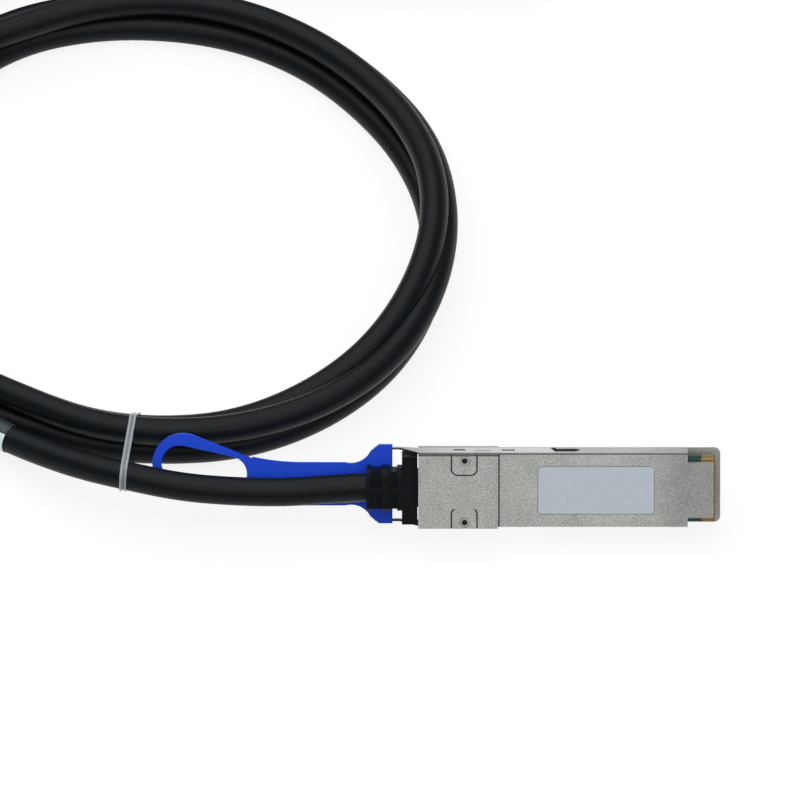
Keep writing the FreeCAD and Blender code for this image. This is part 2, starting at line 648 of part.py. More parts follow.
# ---------------------------------------------------------------- strain relief boot
def boot(tag):
    """Moulded boot: grooved relief, wide block between the slider tails, neck and flange in the rear wall."""
    body = new_body("boot" + tag)

    def across(name, at, loops):
        """A cross section seen along +X; a pad on it grows towards +X and a pocket cuts towards -X."""
        return outline(body, name, "YZ_Plane", at, loops)

    def centred(wide, low, high):
        return rectangle(f"-({wide})/2", low, f"({wide})/2", high)

    relief = across("relief_section", "-boot_rear", [centred("boot_width", "-boot_low", "boot_high")])
    pad(body, "relief", relief, "boot_rear+yoke_front-yoke_length+0.5")
    wide = amount("boot_width/2")

    def long_corner(edge):
        box = edge.BoundBox
        return box.YLength < 1e-4 and box.ZLength < 1e-4 and abs(abs(box.YMin) - wide) < 1e-3

    round_edges(body, "relief_edges", "boot_round", long_corner)
    yoke = across("yoke_section", "yoke_front-yoke_length", [centred("yoke_width", "-boot_low", "boot_high")])
    pad(body, "yoke", yoke, "yoke_length")
    through = centred("neck_width", "-neck_height/2", "neck_height/2")
    neck = across("neck_section", "yoke_front-0.5", [through])
    pad(body, "neck", neck, "yoke_gap+0.5+rear_wall+fit_gap+flange_length")
    rim = centred("flange_width", "-flange_height/2", "flange_height/2")
    flange = across("flange_section", "flange_rear", [rim])
    pad(body, "flange", flange, "flange_length")
    # each flex groove is two C-shaped halves with a bridge above and below
    halves = []
    for s in ("", "-"):
        halves.append([
            (f"{s}groove_bridge/2", "boot_high+over"), (f"{s}(boot_width/2+over)", "boot_high+over"),
            (f"{s}(boot_width/2+over)", "-boot_low-over"), (f"{s}groove_bridge/2", "-boot_low-over"),
            (f"{s}groove_bridge/2", "groove_depth-boot_low"),
            (f"{s}(boot_width/2-groove_depth)", "groove_depth-boot_low"),
            (f"{s}(boot_width/2-groove_depth)", "boot_high-groove_depth"),
            (f"{s}groove_bridge/2", "boot_high-groove_depth"),
        ])
    for at in ("groove_one", "groove_two"):
        section = across(at + "_section", f"{at}+{at}_width-boot_rear", halves)
        pocket(body, at, section, at + "_width")
    return keep(body, tag)


# ---------------------------------------------------------------- what the housing holds
def paddle_card(tag):
    """The circuit card that plugs into the host, bevelled at its front edge."""
    body = new_body("paddle_card" + tag)
    side = [
        ("card_rear", "split"), ("card_front-2*card_bevel", "split"), ("card_front", "split+card_bevel"),
        ("card_front", "card_top-card_bevel"), ("card_front-2*card_bevel", "card_top"),
        ("card_rear", "card_top"),
    ]
    pad(body, "board", outline(body, "side", "XZ_Plane", "-card_width/2", [side]), "card_width")
    return keep(body, tag)


def contact_pads(tag):
    """Gold pads on both faces at the card's front edge."""
    count, pitch = int(amount("contact_count")), amount("contact_pitch")
    size = [amount("contact_" + name) for name in ("length", "width", "thickness")]
    x = amount("card_front-contact_inset-contact_length")
    pads = []
    for z in (amount("card_top"), amount("split-contact_thickness")):
        for k in range(count):
            y = (k - (count - 1) / 2) * pitch - size[1] / 2
            pads.append(Part.makeBox(*size, Vector(x, y, z)))
    return shaped("contact_pads", Part.makeCompound(pads), tag)


def memory_chip(tag):
    """The identity memory on the card."""
    size = [amount("chip_" + name) for name in ("length", "width", "height")]
    at = Vector(amount("card_front-chip_behind"), -size[1] / 2, amount("card_top"))
    return shaped("memory_chip", Part.makeBox(*size, at), tag)


def crimp_ferrule(tag):
    """The ring crimped over the braid, against the boot's flange."""
    along, long = Vector(1, 0, 0), amount("ferrule_length")
    at = Vector(amount("flange_rear+flange_length"), 0, 0)
    ring = Part.makeCylinder(amount("ferrule_diameter/2"), long, at, along)
    ring = ring.cut(Part.makeCylinder(amount("ferrule_bore/2"), long, at, along))
    return shaped("crimp_ferrule", ring, tag)


def wire_pairs(tag):
    """Eight shielded pairs, four above the card and four below, from the ferrule to the card's pads."""
    start = amount("flange_rear+flange_length+ferrule_length")
    end = amount("card_rear+pair_landing")
    half, wide = amount("pair_height/2"), amount("pair_width/2")
    cut = half * (2 - math.sqrt(2))
    corner = [(wide, half - cut), (wide - cut, half), (cut - wide, half), (-wide, half - cut)]
    eight = corner + [(-y, -z) for y, z in corner]
    pairs = []
    for level in (amount("card_top+0.02") + half, amount("split-0.02") - half):
        for k in range(4):
            middle = (k - 1.5) * amount("pair_pitch")
            outline_ = [Vector(start, middle + y, level + z) for y, z in eight]
            section = Part.Face(Part.makePolygon([*outline_, outline_[0]]))
            pairs.append(section.extrude(Vector(end - start, 0, 0)))
    return shaped("wire_pairs", Part.makeCompound(pairs), tag)


def id_label(tag):
    """A plain sticker on the label side."""
    body = new_body("id_label" + tag)
    plan = outline(body, "plan", "XY_Plane", "body_high", [
        rectangle("label_start", "-label_width/2", "label_start+label_length", "label_width/2"),
    ])
    pad(body, "sticker", plan, "label_thickness")
    tall = amount("label_thickness")

    def corner(edge):
        box = edge.BoundBox
        return box.XLength < 1e-4 and box.YLength < 1e-4 and abs(box.ZLength - tall) < 1e-4

    round_edges(body, "corners", "label_round", corner)
    return keep(body, tag)


# ---------------------------------------------------------------- cable, coil and tie
def round_path(points):
    """Straight runs and tangent arcs: ("line", a, b) or ("arc", start, heading, centre, axis, degrees)."""
    points = [Vector(*p) for p in points]
    parts, here, radii = [], points[0], []
    for before, corner, after in zip(points, points[1:], points[2:]):
        arrive, leave = corner - before, after - corner
        turn = arrive.getAngle(leave)
        reach = 0.45 * min(arrive.Length, leave.Length)
        radius = reach / math.tan(turn / 2)
        arrive.normalize()
        leave.normalize()
        start, end = corner - arrive * reach, corner + leave * reach
        axis = arrive.cross(leave)
        axis.normalize()
        centre = start + axis.cross(arrive) * radius
        parts += [("line", here, start), ("arc", start, arrive, centre, axis, math.degrees(turn))]
        here = end
        radii.append(radius)
    parts.append(("line", here, points[-1]))
    return parts, radii


def tube(points, diameter):
    """A solid cable along a rounded path, with its length."""
    parts, radii = round_path(points)
    solids, length = [], 0.0
    for kind, *facts in parts:
        if kind == "line":
            a, b = facts
            solids.append(Part.makeCylinder(diameter / 2, (b - a).Length, a, b - a))
            length += (b - a).Length
        else:
            start, heading, centre, axis, degrees = facts
            disc = Part.Face(Part.Wire(Part.makeCircle(diameter / 2, start, heading)))
            solids.append(disc.revolve(centre, axis, degrees))
            length += (start - centre).Length * math.radians(degrees)
    solid = solids[0].multiFuse(solids[1:]).removeSplitter()
    share = solid.Volume / (math.pi * diameter**2 / 4 * length)
    print(f"tube: {length:.1f} mm, volume share {share:.4f}, radii {[round(r) for r in radii]}")
    return solid


# from plug A's boot over the finger loop and through the tie into the coil
LEAD_A = [
    (-41.0, 0.0, 0.0), (-52.0, -1.1, 0.1), (-64.0, -1.0, 0.5), (-77.0, -0.4, 1.3), (-90.0, 1.9, 1.8),
    (-101.5, 6.9, -0.1), (-112.5, 13.5, -2.8), (-122.5, 20.8, -5.2),
]
# from plug B's boot over its finger loop and down beside the coil's small end
LEAD_B = [
    (-86.0, 178.0, -5.15), (-101.5, 177.2, -4.9), (-126.0, 170.5, -5.2), (-150.0, 154.5, -6.2),
    (-170.0, 130.5, -7.2), (-185.1, 104.6, -7.5),
]


def coil():
    """The tied turns as one closed ring: a large and a small arc joined by their tangents."""
    big, cap, far = amount("coil_radius"), amount("cap_radius"), amount("cap_distance")
    floor = amount("floor_z")
    lean = math.degrees(math.asin((big - cap) / far))
    half, tall = amount("bundle_width/2"), amount("bundle_height")
    cut = amount("bundle_round") * (2 - math.sqrt(2))

    def section(radius):
        """The bundle's outline, its corners cut at 45 degrees."""
        upper = [(half, tall - cut), (half - cut, tall), (cut - half, tall), (-half, tall - cut)]
        lower = [(-half, cut), (cut - half, 0), (half - cut, 0), (half, cut)]
        corners = [Vector(radius + u, 0, floor + z) for u, z in upper + lower]
        return Part.Face(Part.makePolygon([*corners, corners[0]]))

    centre = Vector(amount("coil_x"), amount("coil_y"), 0)
    end = centre - Vector(far, 0, 0)
    solids = []
    arcs = [(centre, big, -90 - lean, 180 + 2 * lean), (end, cap, 90 + lean, 180 - 2 * lean)]
    for middle, radius, start, sweep in arcs:
        solid = section(radius).revolve(Vector(0, 0, 0), Vector(0, 0, 1), sweep)
        solid.Placement = Placement(middle, Rotation(Vector(0, 0, 1), start))
        solids.append(solid)
    run = math.sqrt(far**2 - (big - cap) ** 2)
    for start, away in ((90 + lean, 1), (-90 - lean, -1)):
        solid = section(big).extrude(Vector(0, away * run, 0))
        solid.Placement = Placement(centre, Rotation(Vector(0, 0, 1), start))
        solids.append(solid)
    turn = big * math.radians(180 + 2 * lean) + cap * math.radians(180 - 2 * lean) + 2 * run
    print(f"coil: {turn:.1f} mm a turn")
    return solids[0].multiFuse(solids[1:]).removeSplitter()


def hull(points):
    """Corners of the convex outline of (y, z) points, counter-clockwise."""
    points = sorted(set(points))
    chains = []
    for run in (points, points[::-1]):
        chain = []
        for p in run:
            while len(chain) > 1:
                (ay, az), (by, bz) = chain[-2], chain[-1]
                if (by - ay) * (p[1] - az) - (bz - az) * (p[0] - ay) > 0:
                    break
                chain.pop()
            chain.append(p)
        chains.append(chain[:-1])
    return chains[0] + chains[1]


def twist_tie():
    """A clear ribbon pulled round the bundle and plug A's lead."""
    x, thick, gap = amount("tie_x"), amount("tie_thickness"), 0.2
    half, tall, r = amount("bundle_width/2"), amount("bundle_height"), amount("bundle_round")
    floor, radius = amount("floor_z"), amount("coil_radius")
    middle = amount("coil_y") - math.sqrt(radius**2 - (x - amount("coil_x")) ** 2)
    lead = amount("cable_diameter/2")
    # the ribbon passes under the bundle on the floor, so its lower side is let into the bundle
    rounds = [
        (middle - half + r, floor + tall - r, r + gap + thick),
        (middle + half - r, floor + tall - r, r + gap + thick),
        (middle - half + r, floor + r, r), (middle + half - r, floor + r, r), (2.2, 1.7, lead + gap + thick),
    ]

    def ring(inwards):
        spots = []
        for y, z, reach in rounds:
            for k in range(24):
                a = math.radians(15 * k)
                out = reach - inwards
                spots.append((round(y + out * math.cos(a), 4), round(z + out * math.sin(a), 4)))
        corners = [Vector(x, y, z) for y, z in hull(spots)]
        return Part.Face(Part.makePolygon([*corners, corners[0]]))

    return ring(0).cut(ring(thick)).extrude(Vector(amount("tie_width"), 0, 0))


# ---------------------------------------------------------------- build
for tag in ("_a", "_b"):
    heat_shell(tag)
    label_shell(tag)
    latch_slider(tag)
    doc.recompute()
    return_springs(tag)
    shell_screws(tag)
    pull_tab(tag)
    boot(tag)
    paddle_card(tag)
    contact_pads(tag)
    memory_chip(tag)
    crimp_ferrule(tag)
    wire_pairs(tag)
    id_label(tag)

jacket = amount("cable_diameter")
rear = Vector(-amount("boot_rear"), 0, 0)
shift = Vector(amount("plug_b_x"), amount("plug_b_y"), amount("floor_z+block_low"))
shaped("cable_lead_a", tube([tuple(rear), *LEAD_A], jacket))
shaped("cable_lead_b", tube([tuple(rear + shift), *LEAD_B], jacket))
shaped("cable_coil", coil())
shaped("twist_tie", twist_tie())
doc.recompute()

for thing in doc.Objects:
    if "Invalid" in thing.State or "Error" in thing.State:
        raise RuntimeError(f"{thing.Label} failed: {thing.State}")
for node in NODES:
    if node.Shape.isNull() or not node.Shape.isValid():
        raise RuntimeError(f"{node.Label} has no valid shape")

os.makedirs("parts", exist_ok=True)
for node in NODES:
    node.Shape.exportStep(f"parts/{node.Label}.step")
    print(f"{node.Label}: {len(node.Shape.Solids)} solids, {node.Shape.Volume:.1f} mm3")
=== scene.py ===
# %% [markdown]
# # A direct attach copper cable
# This lesson dresses a ready CAD model of a coiled network cable: two metal plugs with blue pull tabs, and a
# black twinax cable that is wound up and tied. The CAD model gives every size and place. Blender adds the
# smooth cable, the clear tie, round-wire springs, the surface finishes, the light and the camera.

# %% Load the CAD frame
import math

import bmesh
import bpy
from mathutils import Matrix, Vector


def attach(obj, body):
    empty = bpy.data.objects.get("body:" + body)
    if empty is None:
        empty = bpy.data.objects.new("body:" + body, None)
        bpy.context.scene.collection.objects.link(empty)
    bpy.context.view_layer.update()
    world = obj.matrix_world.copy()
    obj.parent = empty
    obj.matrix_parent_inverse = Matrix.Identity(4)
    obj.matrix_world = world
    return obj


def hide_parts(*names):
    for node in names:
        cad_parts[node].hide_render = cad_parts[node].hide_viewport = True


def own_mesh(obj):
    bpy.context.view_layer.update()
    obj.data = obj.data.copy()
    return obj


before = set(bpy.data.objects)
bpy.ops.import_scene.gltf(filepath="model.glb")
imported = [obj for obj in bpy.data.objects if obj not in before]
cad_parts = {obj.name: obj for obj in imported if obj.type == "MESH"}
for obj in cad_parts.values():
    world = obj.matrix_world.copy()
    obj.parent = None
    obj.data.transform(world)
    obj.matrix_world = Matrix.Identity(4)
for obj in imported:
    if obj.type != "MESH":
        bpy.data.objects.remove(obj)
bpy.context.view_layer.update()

MM = 0.001
ROOT = "cable_assembly"

# %% [markdown]
# ## Camera
# The plug is seen from its label side, from above and from far away, so that parallel edges stay nearly
# parallel. A long lens at a distance does that better than an orthographic camera, because reflections still
# change a little over the metal. The camera aims at a point on the floor beside the plug.

# %% Place the camera
ELEVATION = math.radians(50)
DISTANCE = 5.46  # metres
LENS, SENSOR = 1000, 36
FAR_CLIP = 50
aim = Vector((-23.96, 37.07, -11.0)) * MM
camera_data = bpy.data.cameras.new("studio_camera")
camera_data.lens = LENS
camera_data.sensor_width = SENSOR
camera = bpy.data.objects.new("studio_camera", camera_data)
camera.location = aim + Vector((0, -math.cos(ELEVATION), math.sin(ELEVATION))) * DISTANCE
camera.rotation_euler = (math.pi / 2 - ELEVATION, 0, 0)
camera_data.clip_end = FAR_CLIP
bpy.context.collection.objects.link(camera)
bpy.context.scene.camera = camera
bpy.context.scene.view_settings.view_transform = "Standard"
print("camera at", [round(v, 3) for v in camera.location])

# %% [markdown]
# ## Shader maths as Python
# A material is a graph of nodes. Wiring each Math node by hand is long and hard to read, so a small class
# wraps an output socket and overloads the operators: `noise * 0.2 + 0.4` then adds its own Math nodes.
# Every other kind of node comes from one method, which takes its settings first and its sockets after.

# %% A socket that does arithmetic
class Signal:
    def __init__(self, finish, socket):
        self.finish = finish
        self.socket = socket

    def maths(self, operation, *others):
        sockets = dict(enumerate((self, *others)))
        return self.finish.node("ShaderNodeMath", {"operation": operation}, sockets)

    def __add__(self, other):
        return self.maths("ADD", other)

    def __mul__(self, other):
        return self.maths("MULTIPLY", other)

    def __sub__(self, other):
        return self.maths("SUBTRACT", other)

    def __rsub__(self, other):
        return (self * -1) + other

    def __lt__(self, other):
        return self.maths("LESS_THAN", other)

    def __gt__(self, other):
        return self.maths("GREATER_THAN", other)

    def __abs__(self):
        return self.maths("ABSOLUTE")

    def between(self, low, high):
        """1 from low to high and 0 elsewhere."""
        return (self > low) * (self < high)

    __radd__ = __add__
    __rmul__ = __mul__


def strongest(first, *others):
    """The largest of several masks."""
    for other in others:
        first = first.maths("MAXIMUM", other)
    return first


# %% [markdown]
# ## Where the plugs lie
# Both plugs are the same part. One is rolled about its long direction, and the other lies flat beyond the coil.
# Their finishes have painted shade at set places, such as along the slider's seam, so a finish must know where
# its plug lies.

# %% Where the plugs lie
PLUG_A_ROLL = math.radians(50.8)
PLUG_B_AT = (-0.0407, 0.178, -0.00515)
print("plug A rolled", round(math.degrees(PLUG_A_ROLL), 1), "degrees; plug B at", PLUG_B_AT)


# %% A finish: one material and its node graph
class Finish:
    def __init__(self, name, **fixed):
        self.material = bpy.data.materials.new(name)
        self.material.use_nodes = True
        self.tree = self.material.node_tree
        self.shader = self.tree.nodes["Principled BSDF"]
        for socket, value in fixed.items():
            self.set(socket.replace("_", " "), value)

    def feed(self, socket, value):
        if isinstance(value, Signal):
            self.tree.links.new(value.socket, socket)
        else:
            socket.default_value = value

    def node(self, kind, settings=None, sockets=None, out=0):
        made = self.tree.nodes.new(kind)
        for name, value in (settings or {}).items():
            setattr(made, name, value)
        for name, value in (sockets or {}).items():
            self.feed(made.inputs[name], value)
        return Signal(self, made.outputs[out])

    def set(self, name, value):
        if not isinstance(value, Signal) and hasattr(value, "__len__") and len(value) == 3:
            value = (*value, 1)
        self.feed(self.shader.inputs[name], value)

    def place(self):
        """Where a point lies on its piece, in metres: it stays put when the view moves."""
        return self.node("ShaderNodeTexCoord", out=3)  # its Object output

    def plug_place(self, tag):
        """The same in a plug's own axes: x to its nose, y across, z out of its label side."""
        settings = {"vector_type": "POINT"}
        if tag == "a":
            sockets = {"Vector": self.place(), "Rotation": (-PLUG_A_ROLL, 0, 0)}
        else:
            sockets = {"Vector": self.place(), "Location": [-v for v in PLUG_B_AT]}
        turned = self.node("ShaderNodeMapping", settings, sockets)
        split = self.node("ShaderNodeSeparateXYZ", {}, {"Vector": turned})
        return [Signal(self, output) for output in split.socket.node.outputs]

    def noise(self, scale, detail=3.0, rough=0.55, where=None):
        sockets = {"Vector": where or self.place(), "Scale": scale, "Detail": detail, "Roughness": rough}
        return self.node("ShaderNodeTexNoise", {}, sockets)

    def blend(self, factor, first, second):
        """One colour turning into another. Either is three numbers, or a Signal that carries a colour."""
        first, second = (c if isinstance(c, Signal) else (*c, 1) for c in (first, second))
        sockets = {0: factor, 6: first, 7: second}  # a Mix node's factor and its two colours
        return self.node("ShaderNodeMix", {"data_type": "RGBA"}, sockets, out=2)

    def relief(self, height, depth, strength=1.0):
        bump = self.node("ShaderNodeBump", {}, {"Height": height, "Distance": depth, "Strength": strength})
        self.set("Normal", bump)


# %% [markdown]
# ## Cable jacket
# The jacket is extruded black PVC: smooth and slightly glossy, with faint lengthwise unevenness that breaks
# up its highlights. A dark base with middling roughness gives the soft grey streak along each turn.

# %% Jacket and boot finishes
jacket = Finish("black_jacket", Base_Color=(0.003, 0.0048, 0.0066), Specular_IOR_Level=0.14)
soft = jacket.noise(260.0)
jacket.set("Roughness", soft * 0.14 + 0.34)
jacket.relief(jacket.noise(900.0, 2.0), 0.00005, 0.35)

boot_rubber = Finish("moulded_black", Base_Color=(0.003, 0.0042, 0.006), Specular_IOR_Level=0.1)
grain = boot_rubber.noise(1500.0, 2.0)
boot_rubber.set("Roughness", grain * 0.12 + 0.44)
boot_rubber.relief(grain, 0.00004, 0.5)
print("finishes:", jacket.material.name, boot_rubber.material.name)

# %% [markdown]
# ## The route of the cable
# The cable leaves the first plug, passes under a tie into the coil, goes round three times, and leaves at the
# far side for the second plug. In plan the coil is an egg: a large arc and a small one joined by straights.
# Typing every point would hide that, so `ring_place` gives the point at any distance along the egg, and a
# table of slots says where each turn lies across the bundle there: how far out, and how high.

# %% The egg that the turns follow
FLOOR = -11.0
CENTRE, BIG = Vector((-84.8, 87.1)), 68.5  # the large arc
CAP, APART = 35.0, 70.0  # the small arc, and how far left of the large one it is
LEAN = math.degrees(math.asin((BIG - CAP) / APART))
RUN = math.sqrt(APART**2 - (BIG - CAP) ** 2)
CAP_LONG = CAP * math.radians(180 - 2 * LEAN)
BIG_LONG = BIG * math.radians(180 + 2 * LEAN)
TURN = 2 * RUN + CAP_LONG + BIG_LONG


def outward(angle):
    return Vector((math.cos(angle), math.sin(angle)))


def ring_place(s):
    """Point, outward direction and radius (0 on a straight) at s millimetres along the egg, clockwise."""
    cap_centre = CENTRE - Vector((APART, 0))
    if s < RUN:
        out = outward(math.radians(-90 - LEAN))
        return CENTRE + out * BIG + Vector((out.y, -out.x)) * s, out, 0
    s -= RUN
    if s < CAP_LONG:
        out = outward(math.radians(270 - LEAN) - s / CAP)
        return cap_centre + out * CAP, out, CAP
    s -= CAP_LONG
    if s < RUN:
        out = outward(math.radians(90 + LEAN))
        return cap_centre + out * CAP + Vector((out.y, -out.x)) * s, out, 0
    out = outward(math.radians(90 + LEAN) - (s - RUN) / BIG)
    return CENTRE + out * BIG, out, BIG


def on_big(degrees):
    """Distance along the egg of an angle on its large arc."""
    return 2 * RUN + CAP_LONG + BIG * math.radians(90 + LEAN - degrees)


print("one turn:", round(TURN, 1), "mm")

# %% [markdown]
# ## Slots of the turns
# Each row is a distance along the egg, then (outward, height) of the first, second and third turn and of the
# last stretch, which leaves for the second plug. Turns cross from slot to slot as real ones do.

# %% Slots
SLOTS = [
    (0.0, (7.0, 5.6), (-7.0, 3.5), (-2.4, 9.9), (0.0, 3.5)),
    (20.0, (6.0, 7.2), (-6.6, 3.5), (-2.6, 10.0), (0.4, 3.5)),
    (41.0, (4.8, 9.4), (-5.6, 3.5), (-3.0, 10.5), (1.4, 3.5)),
    (61.5, (3.6, 10.5), (-3.6, 3.5), (-3.6, 10.5), (3.6, 3.5)),
    (117.0, (3.6, 10.5), (-3.6, 3.5), (-3.6, 10.5), (3.8, 3.5)),
    (136.5, (3.8, 10.5), (-0.8, 3.5), (-3.9, 9.6), (3.8, 3.5)),
    (157.0, (4.0, 10.5), (2.6, 3.5), (-4.0, 7.6)),
    (178.0, (3.4, 10.5), (6.6, 3.5), (-1.0, 4.6)),
    (198.0, (1.8, 10.4), (9.6, 3.5), (2.8, 3.5)),
    (on_big(90), (3.0, 9.6), (6.5, 3.5), (-0.5, 3.5)),
    (on_big(58), (0.6, 10.5), (5.3, 3.5), (-1.7, 3.5)),
    (on_big(44), (0.2, 10.4), (3.8, 4.0), (-2.6, 3.5)),
    (on_big(30), (-0.4, 13.2), (3.6, 7.0), (-2.0, 3.5)),
    (on_big(0), (1.2, 16.5), (2.8, 10.0), (1.0, 3.5)),
    (on_big(-45), (-0.8, 9.0), (5.3, 10.5), (3.2, 3.5)),
    (on_big(-72), (-4.9, 3.5), (2.3, 10.5), (2.0, 3.5)),
    (on_big(-90), (-6.3, 3.5), (0.6, 11.0), (0.5, 4.2)),
    (TURN, (-7.0, 3.5), (-2.4, 9.9), (0.0, 3.5)),
]


def slot_at(s, turn):
    """Outward and height of a turn at s, easing from row to row."""
    for before, after in zip(SLOTS, SLOTS[1:]):
        if s <= after[0] + 1e-6:
            share = (s - before[0]) / (after[0] - before[0])
            (u0, h0), (u1, h1) = before[turn + 1], after[turn + 1]
            return u0 + (u1 - u0) * share, h0 + (h1 - h0) * share
    raise ValueError(f"no slot at {s} mm")


def strand(s, turn, step):
    """A control point. On an arc it stands out a little, so that the smooth curve keeps the arc's radius."""
    spot, out, radius = ring_place(s)
    u, height = slot_at(s, turn)
    grow = (radius + u) / math.cos(step / (2 * radius)) - radius - u if radius else 0
    spot = spot + out * (u + grow)
    return Vector((spot.x, spot.y, FLOOR + height))


# %% [markdown]
# ## One spline for the whole cable
# The two leads are lists of points, close to the CAD route's own. The turns between them come from a loop,
# with the same points along the egg on each turn. All go into one NURBS spline, so the line has no joints.

# %% Control points of the route
LEAD_A = [
    (-32.1, 0.0, 0.0), (-41.0, -0.4, -0.2), (-52.0, -1.5, -0.2), (-64.0, -1.5, 0.2), (-77.0, -0.9, 1.0),
    (-90.0, 1.9, 1.8), (-101.5, 6.9, -0.1), (-112.5, 14.0, -2.8), (-122.2, 21.4, -5.3),
]
LEAD_B = [
    (-188.4, 106.4, -7.5), (-170.0, 130.5, -7.2), (-150.0, 154.5, -6.2), (-126.0, 170.5, -5.2),
    (-101.5, 177.2, -4.9), (-86.0, 178.0, -5.15), (-72.8, 178.0, -5.15),
]
ENTERS, LEAVES = 10, 112  # where along the egg the cable joins the first turn, and where it leaves the last
TURNS = 3
stations, reached = [], 0
for length, count in ((RUN, 3), (CAP_LONG, 6), (RUN, 3), (BIG_LONG, 15)):
    stations += [(reached + length * k / count, length / count) for k in range(count)]
    reached += length
route = [Vector(p) for p in LEAD_A]
for turn in range(TURNS):
    for s, step in stations:
        if turn or s >= ENTERS:
            route.append(strand(s, turn, step))
route += [strand(s, TURNS, step) for s, step in stations if s < LEAVES]
route += [Vector(p) for p in LEAD_B]
print("control points:", len(route), "of which a turn:", len(stations))

# %% Make the cable
DIAMETER = 7.0
SMOOTH = 8
curve = bpy.data.curves.new("twinax_cable", "CURVE")
curve.dimensions = "3D"
curve.bevel_depth = DIAMETER / 2 * MM
curve.bevel_resolution = SMOOTH
curve.resolution_u = SMOOTH
spline = curve.splines.new("NURBS")
spline.points.add(len(route) - 1)
for point, spot in zip(spline.points, route):
    point.co = (*(spot * MM), 1)
spline.order_u = 3
spline.use_endpoint_u = True
cable = bpy.data.objects.new("twinax_cable", curve)
cable.data.materials.append(jacket.material)
bpy.context.collection.objects.link(cable)


def centreline(curve_object):
    """The points that a curve really follows, read with its thickness off."""
    copy = curve_object.copy()
    copy.data = curve_object.data.copy()
    copy.data.bevel_depth = 0
    line = bpy.data.meshes.new_from_object(copy)
    spots = [v.co.copy() for v in line.vertices]
    bpy.data.objects.remove(copy)
    return spots


line = centreline(cable)
free_length = sum((b - a).length for a, b in zip(line, line[1:]))
print("cable length:", round(free_length * 1000), "mm")

# %% [markdown]
# ## Skins over rings
# The tie, the wrap and the springs are all a section carried along a line. Each is a row of rings of
# vertices with quads from ring to ring, so two helpers serve them all.

# %% Join rings and finish a mesh
def join_rings(mesh, rings, sides):
    """Smooth quads from each ring to the next. A ring may be open, and then it has one vertex more."""
    for here, there in zip(rings, rings[1:]):
        for j in range(sides):
            after = (j + 1) % len(here)
            mesh.faces.new((here[j], here[after], there[after], there[j])).smooth = True


def made_of(name, mesh):
    """The object of a mesh whose faces are all in place."""
    bmesh.ops.recalc_face_normals(mesh, faces=mesh.faces)
    data = bpy.data.meshes.new(name)
    mesh.to_mesh(data)
    mesh.free()
    made = bpy.data.objects.new(name, data)
    bpy.context.collection.objects.link(made)
    return made


# %% [markdown]
# ## The clear tie
# A clear plastic ribbon with a thin wire moulded along each edge holds the turns. On the real cable it is
# pulled tight, so its shape is the convex outline of the strands that it goes round. A hull of circles gives
# that outline, and a small ribbed section is swept along it.

# %% Outline round the strands
def crossings(x, y, slant):
    """(y, z) in millimetres where the cable passes the tie's slanted plane on the near side of the coil."""
    found = []
    for a, b in zip(line, line[1:]):
        before, after = ((p.x / MM - x) - slant * (p.y / MM - y) for p in (a, b))
        if before * after <= 0 and before != after and a.y < CENTRE.y * MM:
            spot = a.lerp(b, before / (before - after))
            found.append((spot.y / MM, spot.z / MM))
    return found


def hull(points):
    """Convex outline of points in a plane, one way round."""
    points = sorted(set(points))
    chains = []
    for run in (points, points[::-1]):
        chain = []
        for p in run:
            while len(chain) > 1:
                (ay, az), (by, bz) = chain[-2], chain[-1]
                if (by - ay) * (p[1] - az) - (bz - az) * (p[0] - ay) > 0:
                    break
                chain.pop()
            chain.append(p)
        chains.append(chain[:-1])
    return chains[0] + chains[1]


TIE_X, TIE_Y, TIE_SLANT = -90.0, 14.0, 0.115
TIE_GAP, TIE_LIFT = 0.05, 0.02  # off the strands, and off the floor
CORNERS = 36
strands = crossings(TIE_X, TIE_Y, TIE_SLANT)
reach = DIAMETER / 2 + TIE_GAP
around = []
for y, z in strands:
    for k in range(CORNERS):
        a = math.radians(360 / CORNERS * k)
        height = max(z + reach * math.sin(a), FLOOR + TIE_LIFT)
        around.append((round(y + reach * math.cos(a), 4), round(height, 4)))
outline = hull(around)
print("strands in the tie:", len(strands))

# %% Sweep the ribbon
HALF, RIB, INNER = 0.85, 0.62, 0.38  # across the ribbon: its edge, a rib's crest and the rib's inner foot
THICK, CREST = 0.3, 0.52
RIBBON = [
    (-HALF, 0.0), (-HALF, THICK), (-RIB, CREST), (-INNER, THICK),
    (INNER, THICK), (RIB, CREST), (HALF, THICK), (HALF, 0.0),
]


def sweep_ring(name, corners, section, place):
    """A closed ring in the tie's plane whose section stands out from the outline."""
    x0, y0, slant = place
    mesh = bmesh.new()
    rings = []
    count = len(corners)
    for k, (y, z) in enumerate(corners):
        (py, pz), (ny, nz) = corners[k - 1], corners[(k + 1) % count]
        along = Vector((ny - py, nz - pz)).normalized()
        out = Vector((along.y, -along.x))
        ring = []
        for across, lift in section:
            spot = (x0 + slant * (y - y0) + across, y + out.x * lift, max(z + out.y * lift, FLOOR))
            ring.append(mesh.verts.new(Vector(spot) * MM))
        rings.append(ring)
    join_rings(mesh, rings + rings[:1], len(section))
    return made_of(name, mesh)


tie_film = Finish("clear_film", Base_Color=(0.45, 0.50, 0.54), Specular_IOR_Level=0.4)
haze = tie_film.noise(1200.0)
tie_film.set("Roughness", haze * 0.25 + 0.2)
xyz = tie_film.node("ShaderNodeSeparateXYZ", {}, {"Vector": tie_film.place()}).socket.node.outputs
across = Signal(tie_film, xyz[0]) - Signal(tie_film, xyz[1]) * TIE_SLANT - (TIE_X - TIE_SLANT * TIE_Y) * MM
RIB_HALF = 0.26
on_rib = abs(abs(across) - RIB * MM) < RIB_HALF * MM
tie_film.set("Alpha", on_rib * 0.34 + haze * 0.1 + 0.2)
tie = sweep_ring("twist_tie_ribbon", outline, RIBBON, (TIE_X, TIE_Y, TIE_SLANT))
tie.data.materials.append(tie_film.material)
print("tie corners:", len(outline))
